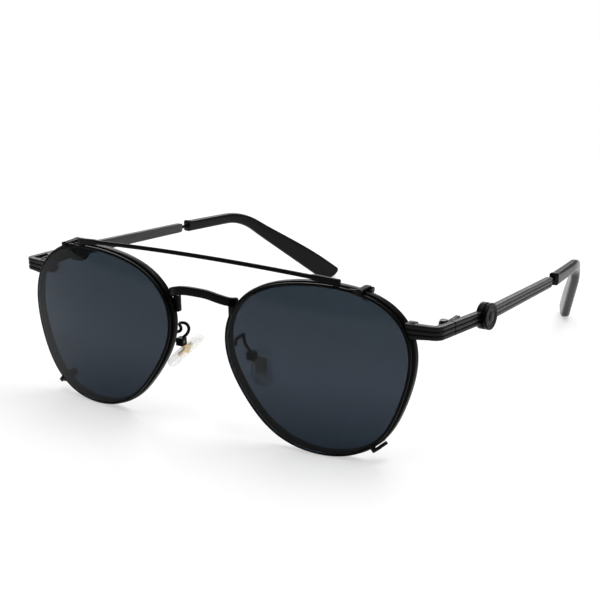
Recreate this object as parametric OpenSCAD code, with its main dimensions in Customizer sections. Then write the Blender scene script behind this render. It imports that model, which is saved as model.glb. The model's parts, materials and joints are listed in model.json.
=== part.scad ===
// Flip up sunglasses: an optical wire frame with clear lenses, and a dark sun front
// that turns up about two pins behind the tops of the rims.
// X is the wearer's left, Y runs from the lenses back to the ears, Z is up.
// The part lies open on a table, on the bottoms of its rims and the ends of its temples.
// Pieces are drawn for the wearer's left side and mirrored for the right one.

/* [Lens outline] */
// Mean radius of the lens outline
lens_r = 25; // [23.5:0.1:26.5]
// How much wider than tall the outline is, on each side
lens_oval = 1.7; // [1.2:0.1:2.4]
// How much the upper corners fill out and the bottom narrows
lens_drop = 1.3; // [0.9:0.05:1.6]
// How much all four corners are squared
lens_square = 0.2; // [0:0.05:0.4]
// How much the temple side fills out
lens_flare = 0.54; // [0.3:0.01:0.7]
// Lean of the outline towards the lower temple side
lens_lean = 0.45; // [0.2:0.01:0.6]
// Clear width between the two lens outlines at the nose
nose_gap = 17.7; // [17:0.1:20]
// Radius of the dome that both lens surfaces follow
lens_dome_r = 119; // [90:1:180]
// Angle that each lens wraps round the face
face_wrap = 6; // [4:0.5:7]
// Angle that each lens leans back at its top
face_tilt = 2.5; // [1:0.5:3.5]

/* [Optical rims] */
// Width of an optical rim, seen from the front
rim_w = 1.45; // [1.3:0.05:1.6]
// Depth of an optical rim, front to back
rim_d = 2; // [1.6:0.1:2.2]
// How far an optical rim stands outside the lens outline
rim_out = 0.15; // [0.1:0.05:0.3]
// Air between the sun rims and the optical rims
front_gap = 0.4; // [0.3:0.05:0.8]
// Thickness of a clear lens
clear_t = 1.1; // [0.9:0.1:1.3]
// Width of the saw cut that lets a lens into its optical rim
rim_cut = 0.25; // [0.15:0.05:0.4]
// Depth of the groove that holds a lens in its rim
groove = 0.25; // [0.15:0.05:0.35]
// Clearance of a lens in its rim, and of soldered pieces
seat = 0.03; // [0.02:0.01:0.05]

/* [Sun front] */
// Width of a sun rim, seen from the front
sun_w = 0.7; // [0.6:0.05:0.9]
// Depth of a sun rim, front to back
sun_d = 0.9; // [0.8:0.05:1.2]
// Thickness of a dark lens
dark_t = 0.8; // [0.6:0.05:1]
// Inset of a sun rim from the lens outline at the top and bottom
sun_inset = 0.1; // [0.05:0.05:0.4]
// Further inset of a sun rim at the temple side
sun_inset_temple = 0.25; // [0.1:0.05:0.6]
// Further inset of a sun rim at the nose side
sun_inset_nose = 0.2; // [0.1:0.05:0.4]
// How far the brow bar's ends reach past the middle of each lens
bar_over = 6.7; // [3:0.1:8]
// Radius of the brow bar's wire
bar_r = 0.6; // [0.45:0.05:0.7]
// Height of the solder feet under the brow bar's ends
bar_stand = 0.4; // [0.3:0.1:1.2]
// Height of the brow bar's middle above the tops of the lenses
bar_rise = 3.2; // [2.6:0.1:5]
// How far the brow bar stands in front of the optical rims at its middle
bar_front = 2.1; // [1.7:0.1:3]
// How far the brow bar's ends lie behind its middle
bar_back = 3.8; // [3.3:0.1:4.2]
// Height of the flattened ends of the brow bar
bar_tab_h = 1.6; // [1.2:0.1:2]
// Depth of the flattened ends of the brow bar
bar_tab_d = 1; // [0.8:0.1:1.2]
// Length of the flattened ends of the brow bar
bar_tab_l = 8.5; // [6:0.5:10]

/* [Flip hinge] */
// Angle on the outline of the upper claws, above the temple side
claw_a = 60.2; // [58:0.2:64]
// Width of an upper claw
claw_w = 1.6; // [1.4:0.1:2]
// Thickness of the claw sheet over the optical rim
claw_t = 0.45; // [0.4:0.05:0.7]
// Air between the claw sheet and the top of the optical rim
claw_gap = 0.15; // [0.1:0.05:0.3]
// Outside radius of the claw's barrel and the frame's ears
flip_r = 0.85; // [0.8:0.05:1]
// Radius of the flip pin
flip_pin_r = 0.38; // [0.3:0.02:0.45]
// Thickness of each ear that holds a flip pin
ear_t = 0.5; // [0.4:0.05:0.7]
// Angle on the outline of the lower claws, below the temple side
low_claw_a = 309; // [300:1:318]
// Thickness of a lower claw
low_claw_t = 0.9; // [0.7:0.05:1.1]
// Width of a lower claw along the rim
low_claw_w = 1.7; // [1.4:0.1:2]
// Length of a lower claw, front to back
low_claw_l = 5.4; // [4.5:0.1:6]

/* [Bridge and pads] */
// Height of the bridge strip
bridge_h = 2.4; // [2:0.1:2.8]
// Thickness of the bridge strip
bridge_t = 1.5; // [1.2:0.1:1.8]
// Height of the bridge's middle above the middle of the lenses
bridge_up = 15.1; // [14:0.05:16]
// How far the bridge's ends drop below its middle
bridge_drop = 2.2; // [1.5:0.05:2.6]
// Half of the straight middle of the bridge
bridge_flat = 5.5; // [5.3:0.1:5.9]
// Radius of the turn from the bridge back to the rims
bridge_turn_r = 4.8; // [4.6:0.1:5]
// Radius of the pad arm's wire
arm_r = 0.45; // [0.4:0.05:0.5]
// Side of the pad box
box_s = 2.2; // [2:0.1:2.6]
// Radius of the pad screw
pad_screw_r = 0.4; // [0.35:0.05:0.5]
// Length of a nose pad
pad_l = 12.8; // [12:0.1:14]
// Width of a nose pad
pad_w = 7; // [6:0.1:8]
// Thickness of a nose pad
pad_t = 2; // [1.8:0.1:2.6]

/* [Temples] */
// How far the outer corners stand outside the closing blocks of the rims
corner_out = 9.2; // [8.8:0.1:10]
// Height of the corners above the rims' saw cuts, at the middle of the strip
corner_up = 0.35; // [0:0.05:0.6]
// Outside radius of the corner's bend
corner_r = 3; // [2.8:0.1:3.4]
// Thickness of the ribbed strip of a temple
strip_t = 1.9; // [1.7:0.05:2.1]
// Height of the strip at the hinge
strip_h = 3.6; // [3.4:0.05:3.8]
// Height of the strip at its rear end
strip_end_h = 3; // [2.8:0.05:3.3]
// Height of the endpiece where it meets the rim
end_h = 4.1; // [3.9:0.05:4.3]
// Depth of the grooves between the ribs
rib_d = 0.35; // [0.2:0.05:0.45]
// How far a temple drops for each millimetre of its length
temple_fall = 0.0743; // [0.06:0.001:0.08]
// Distance of the fold axis behind the front
fold_y = 14.2; // [13.8:0.1:14.8]
// Distance of the fold axis inside the corner's outer face
fold_in = 3.1; // [3:0.1:3.4]
// Outside radius of the hinge knuckles
knuckle_r = 1.3; // [1.2:0.05:1.4]
// Radius of the hinge screw
hinge_screw_r = 0.55; // [0.5:0.05:0.6]
// Distance of the hinge below the middle of the strip
hinge_low = 0.3; // [0.1:0.05:0.5]
// Running clearance of the hinges
run = 0.05; // [0.03:0.01:0.08]
// Distance of the round boss behind the front
boss_y = 31.2; // [29:0.1:34]
// Radius of the round boss
boss_r = 3.6; // [3.3:0.05:4]
// Distance of the strip's rear end behind the front
strip_end_y = 79.6; // [78:0.1:80.5]
// Distance of the plastic tip's front end behind the front
tip_y = 82.4; // [81.5:0.1:83]
// Radius of the steel wire in the temple tip
core_r = 0.55; // [0.45:0.05:0.6]
// Thickness of the plastic tip
tip_t = 2.8; // [2.6:0.1:3.1]
// Height of the plastic tip at its front
tip_h = 4; // [3.6:0.1:4.2]
// Height of the plastic tip near its end
tip_end_h = 6.8; // [5.8:0.1:7.4]
// Distance of the tip's bend behind the front
tip_bend_y = 102.5; // [98:0.5:106]
// Radius of the tip's bend
tip_bend_r = 20; // [14:0.5:24]
// Angle of the tip below level, past its bend
tip_drop_a = 42; // [36:1:46]
// Inward angle of the tip past its bend, seen from above
tip_close_a = 28; // [25:0.5:31]
// Radius of the round lower corner of the tip's end
tip_end_r = 5.5; // [4.5:0.1:6]

/* [Hidden] */

// Straight pieces between the points of a lens outline
SEGMENTS = 60;
ROUND = 48;

// Lens outline, as a radius for each angle from the temple side upwards
function outline_r(a) = lens_r + lens_oval * cos(2 * a) - lens_lean * sin(2 * a)
    - lens_flare * cos(3 * a) + lens_drop * sin(3 * a)
    - lens_square * cos(4 * a) - 0.07 * sin(4 * a) - 0.11 * cos(5 * a) + 0.31 * sin(5 * a);
function outline_at(a) = outline_r(a) * [cos(a), sin(a)];
function outward_at(a) = let (d = outline_at(a + 1) - outline_at(a - 1)) [d[1], -d[0]] / norm(d);
function outline_off(a, u) = outline_at(a) + u * outward_at(a);

rim_low = min([for (i = [0:359]) outline_off(i, rim_out)[1]]);
lens_top = max([for (i = [0:359]) outline_at(i)[1]]);
lens_nose = min([for (i = [0:359]) outline_at(i)[0]]);
lens_x = nose_gap / 2 - lens_nose;
lens_z = -rim_low;
// Height of the top of the lens outlines above the table
top_z = lens_z + lens_top;

// Both lenses follow one dome: its depth at a point measured from the lens centre
front_y0 = -1.4;
function dome_y(p) = front_y0 + tan(face_wrap) * p[0] + tan(face_tilt) * p[1]
    + (p[0] * p[0] + p[1] * p[1]) / (2 * lens_dome_r);
function on_dome(p, v) = [lens_x + p[0], dome_y(p) + v, lens_z + p[1]];
function dome_y_at(x, z) = dome_y([x - lens_x, z - lens_z]);

// Angle at which the optical rim is cut, behind the endpiece
cut_a = 25.4;
// Front and back faces of the two pairs of rims, from the dome
base_v = front_gap - 0.1;
base_back = base_v + rim_d;
sun_back = -0.1;
sun_v = sun_back - sun_d;
function sun_u(a) = -sun_inset - sun_inset_temple * pow(max(0, cos(a)), 2)
    - sun_inset_nose * pow(max(0, -cos(a)), 2);

// Places that follow the lens outlines
bar_z = top_z + bar_rise;
bar_half = lens_x + bar_over;
bridge_z = lens_z + bridge_up;
nose_x = nose_gap / 2;
lock_x = lens_x + outline_at(cut_a)[0] - 1.2;
lock_y = dome_y(outline_at(cut_a)) + base_back + 0.3;
lock_z = lens_z + outline_at(cut_a)[1];
corner_x = lock_x + corner_out;
corner_z = lock_z + corner_up;

// A surface through rings of equal numbers of points, closed by its first and last rings.
// Each ring runs right-handed about the way that the rings follow each other.
module skin(rings) {
    n = len(rings[0]);
    m = len(rings);
    wall = [for (i = [0:m - 2]) for (j = [0:n - 1]) each [
        [(i + 1) * n + j, (i + 1) * n + (j + 1) % n, i * n + j],
        [(i + 1) * n + (j + 1) % n, i * n + (j + 1) % n, i * n + j]]];
    first_end = [for (j = [0:n - 1]) j];
    last_end = [for (j = [n - 1:-1:0]) (m - 1) * n + j];
    polyhedron(points = [for (r = rings) each r], faces = concat(wall, [first_end, last_end]));
}

// The same, with the last ring joined to the first
module hoop(rings) {
    n = len(rings[0]);
    m = len(rings);
    wall = [for (i = [0:m - 1]) for (j = [0:n - 1]) each [
        [((i + 1) % m) * n + j, ((i + 1) % m) * n + (j + 1) % n, i * n + j],
        [((i + 1) % m) * n + (j + 1) % n, i * n + (j + 1) % n, i * n + j]]];
    polyhedron(points = [for (r = rings) each r], faces = wall);
}

// Rings of a section carried along a path, its first axis level and its second one upwards
function unit(v) = v / norm(v);
function way_at(path, i) = unit(path[min(i + 1, len(path) - 1)] - path[max(i - 1, 0)]);
function carry(path, sections, up = [0, 0, 1]) = [for (i = [0:len(path) - 1])
    let (t = way_at(path, i), s = unit(cross(up, t)), u = cross(t, s))
    [for (p = sections[i]) path[i] + p[0] * s + p[1] * u]];

// Sections: a rectangle with cut corners, a round wire and a strip with three ribs outside
function cut_box(w, h, c) = [[w / 2 - c, -h / 2], [w / 2, c - h / 2], [w / 2, h / 2 - c],
    [w / 2 - c, h / 2], [c - w / 2, h / 2], [-w / 2, h / 2 - c], [-w / 2, c - h / 2],
    [c - w / 2, -h / 2]];
function wire_ring(r, n = 12) = [for (i = [0:n - 1]) r * [cos(360 * i / n), sin(360 * i / n)]];
function ribbed(t, h) = let (g = h / 8, r = h / 4, e = 0.25)
    [[t / 2 - e, -h / 2], [t / 2, e - h / 2], [t / 2, h / 2 - e], [t / 2 - e, h / 2],
    [e - t / 2, h / 2], [-t / 2, h / 2 - e],
    [-t / 2, h / 2 - r + g / 3], [rib_d - t / 2, h / 2 - r - g / 4],
    [rib_d - t / 2, h / 2 - r - g / 2], [-t / 2, g],
    [-t / 2, -g], [rib_d - t / 2, r + g / 2 - h / 2],
    [rib_d - t / 2, r + g / 4 - h / 2], [-t / 2, r - g / 3 - h / 2],
    [-t / 2, e - h / 2], [e - t / 2, -h / 2]];

// Section of a rim in the outward and backward directions, with a groove for the lens
function rim_section(uo, w, v0, v1, c) = let (ui = uo - w, vm = (v0 + v1) / 2)
    [[uo - c, v0], [uo, v0 + c], [uo, v1 - c], [uo - c, v1], [ui + c, v1], [ui, v1 - c],
    [ui, vm + groove], [ui + groove, vm], [ui, vm - groove], [ui, v0 + c], [ui + c, v0]];
function rim_ring(a, section) = [for (p = section) on_dome(outline_off(a, p[0]), p[1])];
// Angles of the rims' own points that enclose a part of the outline
function rim_angles(a0, a1) = let (step = 360 / SEGMENTS)
    [for (i = [floor((a0 - cut_a) / step):ceil((a1 - cut_a) / step)]) cut_a + i * step];
// The optical rim with some clearance round it, over a part of the outline, to cut seats.
// It may also take some of the space inside the rim, so that no thin edge is left there.
module rim_cutter(a0, a1, inside = 0) {
    c = seat;
    inner = rim_out - rim_w - c - inside;
    section = [[rim_out + c, base_v - c], [rim_out + c, base_back + c],
        [inner, base_back + c], [inner, base_v - c]];
    skin([for (a = rim_angles(a0, a1)) rim_ring(a, section)]);
}
// The same for the sun rim
module sun_cutter(a0, a1, c = seat, inside = 0) {
    skin([for (a = rim_angles(a0, a1)) let (u = sun_u(a), w = sun_w + inside)
        rim_ring(a, [[u + c, sun_v - c], [u + c, sun_back + c],
            [u - w - c, sun_back + c], [u - w - c, sun_v - c]])]);
}

// A lens: loops from the middle of its back over its bevelled edge to the middle of its front
module lens(edge_u, mid_v, t, tilted_inset) {
    shares = [0.03, 0.36, 0.7];
    b = groove - 0.04;
    edge = [[1, t / 2, 0], [1, b, 0], [1, 0, b], [1, -b, 0], [1, -t / 2, 0]];
    loops = concat([for (k = shares) [k, t / 2, 0]], edge,
        [for (i = [len(shares) - 1:-1:0]) [shares[i], -t / 2, 0]]);
    skin([for (l = loops) [for (i = [0:SEGMENTS - 1])
        let (a = cut_a + 360 * i / SEGMENTS,
            u = edge_u + l[2] - seat + (tilted_inset ? sun_u(a) : 0))
        on_dome(l[0] * outline_off(a, u), mid_v + l[1])]]);
}

// Optical rim, open by a saw cut at the endpiece
module base_rim() {
    half_cut = rim_cut / 2 / outline_r(cut_a) * 180 / PI;
    section = rim_section(rim_out, rim_w, base_v, base_back, 0.18);
    color("#202224") skin([for (i = [0:SEGMENTS])
        rim_ring(cut_a + half_cut + (360 - 2 * half_cut) * i / SEGMENTS, section)]);
}
module clear_lens() {
    color([0.9, 0.93, 0.95, 0.3]) lens(rim_out - rim_w, (base_v + base_back) / 2, clear_t, false);
}
module sun_rim() {
    color("#26282b") hoop([for (i = [0:SEGMENTS - 1]) let (a = cut_a + 360 * i / SEGMENTS)
        rim_ring(a, rim_section(sun_u(a), sun_w, sun_v, sun_back, 0.15))]);
}
module sun_lens() {
    color([0.13, 0.16, 0.2, 0.85]) lens(-sun_w, (sun_v + sun_back) / 2, dark_t, true);
}

// Bridge: a flat strip that turns back to both rims, and a foot plate beside each rim
bridge_y = -1.8;
bridge_end_a = 84;
bridge_half = bridge_flat + bridge_turn_r * sin(bridge_end_a);
function bridge_lift(x) = bridge_z - bridge_drop * pow(abs(x) / 10.1, 3);
function bridge_turn(s) = [for (b = [12:12:bridge_end_a])
    let (x = bridge_flat + bridge_turn_r * sin(b))
    [s * x, bridge_y + bridge_turn_r * (1 - cos(b)), bridge_lift(x)]];
function backwards(list) = [for (i = [len(list) - 1:-1:0]) list[i]];
foot_low = bridge_z - 7.75;
foot_in = nose_x - 0.55;
foot_out = nose_x + 1.25;
foot_y = 1.25;
foot_d = 1.6;
module bridge_strip() {
    middle = [for (x = [-bridge_flat, -bridge_flat / 3, bridge_flat / 3, bridge_flat])
        [x, bridge_y, bridge_lift(x)]];
    path = concat(backwards(bridge_turn(-1)), middle, bridge_turn(1));
    section = cut_box(bridge_t, bridge_h, 0.35);
    skin(carry(path, [for (p = path) section]));
}
module foot_plate() {
    difference() {
        translate([foot_in, foot_y, foot_low])
            cube([foot_out - foot_in, foot_d, bridge_lift(10.1) - bridge_h / 2 + 0.3 - foot_low]);
        rim_cutter(140, 176);
    }
}
module bridge() {
    color("#1d1f21") union() {
        difference() {
            bridge_strip();
            for (s = [0, 1]) mirror([s, 0, 0]) rim_cutter(138, 170);
        }
        for (s = [0, 1]) mirror([s, 0, 0]) foot_plate();
    }
}

// Middle line of a temple, from the corner back: it bows out to the boss and then in
corner_y = 5.9;
strip_x = corner_x - strip_t / 2;
strip_bow = 0.05;
strip_close = 0.045;
function strip_mid(y) = [strip_x + strip_bow * (min(y, boss_y) - corner_y - corner_r)
    - strip_close * max(0, y - boss_y), y, corner_z - temple_fall * (y - corner_y)];
function strip_height(y) = strip_h + (strip_end_h - strip_h) * max(0, y - fold_y)
    / (strip_end_y - fold_y);

// Endpiece: a ribbed strip from the rim out to the corner and back to the fold
end_gap = 0.12;
end_in = lock_x - 0.2;
end_clear = 0.42;
inside_rim = 1.5;
end_joint = end_in + 2;
module endpiece() {
    bend_r = corner_r - strip_t / 2;
    bend = [for (b = [0:15:90]) let (y = corner_y + strip_t / 2 + bend_r * (1 - cos(b)))
        [strip_x - bend_r + bend_r * sin(b), y, corner_z - temple_fall * (y - corner_y)]];
    root_y = dome_y_at(end_in, corner_z) + sun_back + 0.15;
    start = [end_in + 0.2, root_y + strip_t / 2, corner_z];
    path = concat([start], bend, [strip_mid(fold_y - end_gap)]);
    sections = [for (i = [0:len(path) - 1]) ribbed(strip_t, i == 0 ? end_h : strip_h)];
    color("#202224") difference() {
        union() {
            skin(carry(path, sections));
            translate([0, corner_y + strip_t, corner_z]) rotate([90, 0, 0])
                linear_extrude(corner_y + strip_t / 2 - root_y) polygon([[end_in + 1, -end_h / 2],
                    [end_joint + 0.6, -end_h / 2], [end_joint + 0.6, end_h / 2],
                    [end_in, end_h / 2]]);
        }
        rim_cutter(10, 45, inside_rim);
        sun_cutter(10, 45, end_clear, inside_rim);
        lock_space();
    }
}

// Closing block behind the rim's saw cut: an upper and a lower half, drawn together by a screw
lock_w = 2.2;
lock_d = 2.3;
lock_h = 2.4;
lock_screw_r = 0.5;
lock_cut = 0.3;
module lock_space() {
    translate([lock_x - lock_w / 2 - seat, lock_y - 1, lock_z - lock_h])
        cube([lock_w + 2 * seat, lock_d + 1, 2 * lock_h]);
}
module rim_lock() {
    color("#26282b") difference() {
        for (s = [0, 1]) translate([lock_x - lock_w / 2, lock_y - 0.8,
            lock_z + (s == 0 ? lock_cut / 2 : -lock_h / 2)])
            cube([lock_w, lock_d + 0.8, lock_h / 2 - lock_cut / 2]);
        rim_cutter(10, 45);
        translate([lock_x, lock_y + lock_d / 2, lock_z - lock_h])
            cylinder(r = lock_screw_r + 0.01, h = 2 * lock_h, $fn = ROUND);
    }
}
module slotted_screw(r, l, head_r, head_t) {
    translate([0, 0, -l]) cylinder(r = r, h = l, $fn = ROUND);
    difference() {
        cylinder(r = head_r, h = head_t, $fn = ROUND);
        translate([-head_r - 1, -head_r / 6, head_t / 2])
            cube([2 * head_r + 2, head_r / 3, head_t]);
    }
}
module lock_screw() {
    color("#8a8d90") translate([lock_x, lock_y + lock_d / 2, lock_z - lock_h / 2 - 0.02])
        mirror([0, 0, 1]) slotted_screw(lock_screw_r, lock_h - 0.3, 0.9, 0.45);
}

// Temple hinge: two knuckles on the frame, one on the temple, and a screw through all three
fold_x = corner_x - fold_in;
fold_z = strip_mid(fold_y)[2] - hinge_low;
knuckle_h = 3.4;
middle_h = 1.5;
leaf_t = 1.2;
inner_x = strip_x - strip_t / 2;
module knuckle(z0, z1, r) {
    translate([fold_x, fold_y, fold_z]) difference() {
        translate([0, 0, z0]) cylinder(r = knuckle_r, h = z1 - z0, $fn = ROUND);
        translate([0, 0, z0 - 1]) cylinder(r = r, h = z1 - z0 + 2, $fn = ROUND);
    }
}
module frame_hinge() {
    leaf_l = 5;
    color("#26282b") union() {
        for (s = [-1, 1]) {
            z0 = s > 0 ? middle_h / 2 + run : -knuckle_h / 2;
            z1 = s > 0 ? knuckle_h / 2 : -middle_h / 2 - run;
            knuckle(z0, z1, hinge_screw_r + 0.01);
            difference() {
                translate([fold_x, fold_y - leaf_l, fold_z + z0])
                    cube([inner_x - fold_x - seat, leaf_l, z1 - z0]);
                translate([fold_x, fold_y, fold_z - knuckle_h])
                    cylinder(r = knuckle_r - 0.2, h = 2 * knuckle_h, $fn = ROUND);
            }
        }
        translate([inner_x - seat - leaf_t, fold_y - leaf_l, fold_z - knuckle_h / 2])
            cube([leaf_t, leaf_l - knuckle_r - 0.25, knuckle_h]);
    }
}
module hinge_screw() {
    color("#8a8d90") translate([fold_x, fold_y, fold_z + knuckle_h / 2 + 0.02])
        slotted_screw(hinge_screw_r, knuckle_h, 1.05, 0.5);
}
module temple_hinge() {
    leaf_l = 7;
    leaf_x = inner_x - seat - leaf_t;
    color("#26282b") union() {
        knuckle(-middle_h / 2, middle_h / 2, hinge_screw_r + run);
        difference() {
            translate([fold_x, fold_y, fold_z - middle_h / 2])
                cube([inner_x - seat - fold_x, leaf_l, middle_h]);
            translate([fold_x, fold_y, fold_z - knuckle_h])
                cylinder(r = knuckle_r - 0.2, h = 2 * knuckle_h, $fn = ROUND);
        }
        translate([leaf_x, fold_y + knuckle_r + 0.25, fold_z - knuckle_h / 2 + 0.2])
            cube([leaf_t, leaf_l - knuckle_r - 0.25, knuckle_h - 0.4]);
    }
}

// Ribbed strip of a temple, with a cut end, and the round boss that it passes through
module temple_strip() {
    ys = concat([fold_y + end_gap, (fold_y + boss_y) / 2],
        [for (i = [0:6]) boss_y + (strip_end_y - boss_y) * i / 7], [strip_end_y - 1.6, strip_end_y]);
    path = [for (y = ys) strip_mid(y)];
    sections = [for (i = [0:len(ys) - 1]) i == len(ys) - 1 ? ribbed(strip_t - 0.5, strip_end_h - 0.9)
        : ribbed(strip_t, strip_height(ys[i]))];
    color("#303234") skin(carry(path, sections));
}
boss_at = strip_mid(boss_y);
boss_in = 1.1;
boss_out = 2.1;
boss_groove = 0.35;
disc_r = 2.6;
disc_t = 0.35;
module boss_axis() {
    translate(boss_at) rotate([0, 90, 0]) children();
}
module temple_boss() {
    seat_l = 2 * boss_r + 2;
    ys = [boss_y - seat_l / 2, boss_y, boss_y + seat_l / 2];
    color("#202224") difference() {
        boss_axis() union() {
            translate([0, 0, -boss_in]) cylinder(r = boss_r, h = boss_in + 0.7, $fn = 96);
            translate([0, 0, 0.6]) cylinder(r = boss_r - 0.4, h = boss_groove + 0.3, $fn = 96);
            translate([0, 0, 0.7 + boss_groove])
                cylinder(r = boss_r, h = boss_out - 0.7 - boss_groove, $fn = 96);
        }
        boss_axis() translate([0, 0, boss_out - disc_t]) cylinder(r = disc_r + 0.02, h = 1, $fn = 96);
        skin(carry([for (y = ys) strip_mid(y)], [for (y = ys)
            cut_box(strip_t + 2 * seat, strip_height(y) + 2 * seat, 0.2)]));
    }
}
module boss_disc() {
    ring_w = 0.35;
    color("#34373a") boss_axis() translate([0, 0, boss_out - disc_t]) union() {
        cylinder(r = disc_r, h = disc_t - 0.12, $fn = 96);
        difference() {
            cylinder(r = disc_r, h = disc_t, $fn = 96);
            translate([0, 0, -1]) cylinder(r = disc_r - ring_w, h = 3, $fn = 96);
        }
        cylinder(r = disc_r / 2, h = disc_t, $fn = 96);
    }
}

// Plastic tip: it runs on from the strip, bends over the ear and widens to a round-ended paddle.
// Its middle line, seen from the side, is two straight lines and the bend between them.
tip_start = strip_mid(tip_y);
tip_fall_a = 4;
close_y = 100;
close_l = 20;
front_l = (tip_bend_y - tip_y) / cos(tip_fall_a);
bend_l = tip_bend_r * (tip_drop_a - tip_fall_a) * PI / 180;
bend_start = [tip_bend_y, tip_start[2] - front_l * sin(tip_fall_a)];
bend_end = bend_start + tip_bend_r * [sin(tip_drop_a) - sin(tip_fall_a),
    cos(tip_drop_a) - cos(tip_fall_a)];
// The paddle's lower edge stays parallel to the middle line, and its upper edge rises
tip_below = tip_h * 0.43;
tip_mid_up = tip_end_r - tip_below;
// Length of the paddle up to its round end, so that this end rests on the table
paddle_l = (bend_end[1] + tip_mid_up * cos(tip_drop_a) - tip_end_r) / sin(tip_drop_a);
tip_total = front_l + bend_l + paddle_l + tip_end_r;
end_steps = [for (b = [12, 32, 50, 66, 80]) tip_total - tip_end_r * (1 - sin(b))];
tip_steps = concat([0, 0.3, front_l / 2, front_l - 3], [for (i = [0:6]) front_l + bend_l * i / 6],
    [for (k = [0.12, 0.4, 0.7, 1]) front_l + bend_l + paddle_l * k], end_steps);
function ease(x) = let (k = min(1, max(0, x))) k * k * (3 - 2 * k);
// How far the middle line has closed inwards from the start
function tip_inward(y) = let (k = min(1, max(0, (y - close_y) / close_l)), slow = 0.12,
    fast = tan(tip_close_a), turned = k < 1 ? close_l / 2 * k * k : y - close_y - close_l / 2)
    slow * (y - tip_y) + (fast - slow) * turned;
function tip_side(l) = l < front_l
    ? [tip_y + l * cos(tip_fall_a), tip_start[2] - l * sin(tip_fall_a)]
    : l < front_l + bend_l ? let (b = tip_fall_a + (l - front_l) / tip_bend_r * 180 / PI)
        bend_start + tip_bend_r * [sin(b) - sin(tip_fall_a), cos(b) - cos(tip_fall_a)]
    : bend_end + (l - front_l - bend_l) * [cos(tip_drop_a), -sin(tip_drop_a)];
function tip_at(l) = let (p = tip_side(l)) [tip_start[0] - tip_inward(p[0]), p[0], p[1]];
tip_path = [for (l = tip_steps) tip_at(l)];
// Lower and upper edges of the tip's side, from the middle line
function tip_edge(l) = let (k = ease((l - front_l) / (paddle_l + bend_l)), h = tip_h * 0.86,
        e = max(0, l - tip_total + tip_end_r) / tip_end_r,
        f = max(0, l - tip_total + 0.8) / 0.8)
    [tip_end_r * (1 - sqrt(1 - e * e)) - tip_below,
        (l < 1 ? tip_h / 2 : h / 2 + (tip_end_h - h) * k) - 0.8 * (1 - sqrt(1 - f * f))];
tip_sections = [for (i = [0:len(tip_steps) - 1]) let (l = tip_steps[i], e = tip_edge(l),
        shrink = i == 0 ? 0.5 : i == len(tip_steps) - 1 ? 1 : 0)
    [for (p = cut_box(tip_t - shrink, e[1] - e[0], 0.7)) p + [0, (e[0] + e[1]) / 2]]];
tip_rings = carry(tip_path, tip_sections);
tip_low = min([for (r = tip_rings) for (p = r) p[2]]);
tip_back = max([for (r = tip_rings) for (p = r) p[1]]);
core_way = unit(tip_path[3] - tip_path[0]);
core_l = 14;
module along(v) {
    rotate([0, acos(v[2] / norm(v)), atan2(v[1], v[0])]) children();
}
module temple_tip() {
    color("#2b2d2f") difference() {
        skin(tip_rings);
        translate(tip_path[0] - core_way) along(core_way)
            cylinder(r = core_r + 0.06, h = core_l + 1, $fn = ROUND);
    }
}
module core_wire() {
    from = strip_mid(strip_end_y);
    start = from + unit(tip_path[0] - from) * 0.05;
    path = [start, tip_path[0], tip_path[0] + core_way, tip_path[0] + core_way * (core_l - 0.1)];
    color("#3a3c3e") skin(carry(path, [for (p = path) wire_ring(core_r, 16)]));
}

// Pad arm: a wire hook from the rim round to the pad box, behind the nose side of the rim
arm_steps = [[1.45, 1.9, 1.04], [0.55, 2.9, 1.34], [0.65, 3.5, 2.04], [1.55, 4.1, 2.74],
    [1.65, 5.2, 2.84], [0.95, 6.3, 2.34], [0.55, 6.9, 0.94], [1.15, 6.9, -0.66], [2.55, 6.7, -2.06]];
arm_points = [for (p = arm_steps) p + [nose_x, 0, lens_z]];
pad_box_at = [nose_x + 3.15, 6.6, lens_z - 3.26];
module pad_arm() {
    color("#1d1f21") difference() {
        skin(carry(arm_points, [for (p = arm_points) wire_ring(arm_r, 10)], [1, 0, 0.15]));
        rim_cutter(170, 190);
        pad_box_space();
    }
}
module pad_box_space() {
    translate(pad_box_at) cube(box_s + 2 * seat, center = true);
}
module screw_axis() {
    translate(pad_box_at) rotate([0, 90, 0]) children();
}
pad_tab_t = 0.8;
pad_tab_gap = 0.1;
pad_tab_r = 0.75;
pad_slot = pad_tab_r + 0.12;
module pad_box() {
    color("#202224") difference() {
        translate(pad_box_at) cube(box_s, center = true);
        translate(pad_box_at + [-pad_tab_t / 2 - pad_tab_gap, -pad_slot, pad_slot - 2 * box_s])
            cube([pad_tab_t + 2 * pad_tab_gap, 2 * box_s, 2 * box_s]);
        screw_axis() cylinder(r = pad_screw_r + 0.01, h = 2 * box_s, center = true, $fn = ROUND);
    }
}
module pad_screw() {
    color("#8a8d90") screw_axis() translate([0, 0, box_s / 2 + 0.02])
        slotted_screw(pad_screw_r, box_s, 0.75, 0.35);
}

// Nose pad: a soft clear pad over a metal core, whose tab turns on the pad screw
pad_at = [nose_x + 4.15, 9.7, lens_z - 6.96];
pad_turn = 32;
pad_lean = 55;
pad_roll = -50;
core_plate = [0.6, 3, 5.2];
module pad_frame() {
    translate(pad_at) rotate([0, 0, pad_turn]) rotate([-pad_lean, 0, 0]) rotate([0, 0, pad_roll])
        children();
}
module pad_tab(grow) {
    reach = pad_at - pad_box_at;
    lean = atan2(reach[1], -reach[2]);
    tab_l = norm([reach[1], reach[2]]);
    translate(pad_box_at) rotate([lean, 0, 0]) {
        translate([-pad_tab_t / 2 - grow, -pad_tab_r - grow, -tab_l])
            cube([pad_tab_t + 2 * grow, 2 * pad_tab_r + 2 * grow, tab_l]);
        rotate([0, 90, 0])
            cylinder(r = pad_tab_r + grow, h = pad_tab_t + 2 * grow, center = true, $fn = ROUND);
    }
}
module core_shape(grow) {
    union() {
        pad_tab(grow);
        pad_frame() translate([0.2, 0, 0]) cube(core_plate + 2 * grow * [1, 1, 1], center = true);
    }
}
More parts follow.
